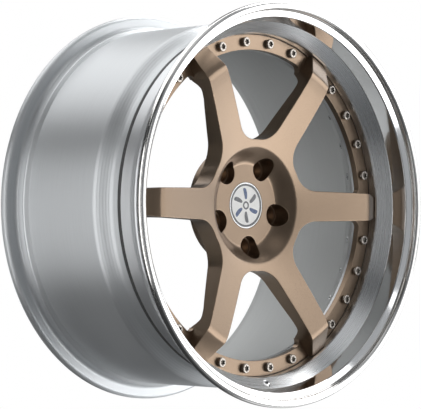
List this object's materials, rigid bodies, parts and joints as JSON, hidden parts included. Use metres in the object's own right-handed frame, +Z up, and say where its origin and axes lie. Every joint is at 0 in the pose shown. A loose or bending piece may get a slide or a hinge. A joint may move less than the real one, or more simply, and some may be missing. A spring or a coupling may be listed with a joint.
{
  "type": "forged racing wheel rim",
  "caption": "Three-piece forged wheel with a six-spoke centre disc bolted into a deep polished lip and a wide barrel.",
  "frame": {"origin": "middle of the rim's width on the wheel's axis, which is the centre of its bounding box", "axes": "+Y along the wheel's axis from the face towards the car, +Z up with the valve hole at the bottom, +X to the right seen from the face"},
  "size_m": [0.543, 0.2802, 0.543],
  "materials": {
    "polished_lip": "mirror polished",
    "barrel": "satin anodised",
    "bronze": "satin bronze paint on forged aluminium",
    "bolt": "polished",
    "nut": "bright zinc",
    "sealant": "matte cured bead",
    "cap": "satin machined",
    "badge": "domed gloss",
    "spring": "drawn wire"
  },
  "bodies": {
    "wheel": {"outer_lip": "polished_lip", "inner_barrel": "barrel", "sealant_bead": "sealant", "centre_disc": "bronze", "assembly_bolt_01": "bolt", "assembly_bolt_02": "bolt", "assembly_bolt_03": "bolt", "assembly_bolt_04": "bolt", "assembly_bolt_05": "bolt", "assembly_bolt_06": "bolt", "assembly_bolt_07": "bolt", "assembly_bolt_08": "bolt", "assembly_bolt_09": "bolt", "assembly_bolt_10": "bolt", "assembly_bolt_11": "bolt", "assembly_bolt_12": "bolt", "assembly_bolt_13": "bolt", "assembly_bolt_14": "bolt", "assembly_bolt_15": "bolt", "assembly_bolt_16": "bolt", "assembly_bolt_17": "bolt", "assembly_bolt_18": "bolt", "assembly_bolt_19": "bolt", "assembly_bolt_20": "bolt", "assembly_bolt_21": "bolt", "assembly_bolt_22": "bolt", "assembly_bolt_23": "bolt", "assembly_bolt_24": "bolt", "assembly_nut_01": "nut", "assembly_nut_02": "nut", "assembly_nut_03": "nut", "assembly_nut_04": "nut", "assembly_nut_05": "nut", "assembly_nut_06": "nut", "assembly_nut_07": "nut", "assembly_nut_08": "nut", "assembly_nut_09": "nut", "assembly_nut_10": "nut", "assembly_nut_11": "nut", "assembly_nut_12": "nut", "assembly_nut_13": "nut", "assembly_nut_14": "nut", "assembly_nut_15": "nut", "assembly_nut_16": "nut", "assembly_nut_17": "nut", "assembly_nut_18": "nut", "assembly_nut_19": "nut", "assembly_nut_20": "nut", "assembly_nut_21": "nut", "assembly_nut_22": "nut", "assembly_nut_23": "nut", "assembly_nut_24": "nut"},
    "cap": {"centre_cap": "cap", "cap_badge": "badge", "cap_retaining_ring": "spring"}
  },
  "joints": [
    {"name": "cap_pull", "type": "slide", "parent": "wheel", "child": "cap", "axis": [0, -1, 0], "range_m": [0, 0.014]}
  ]
}
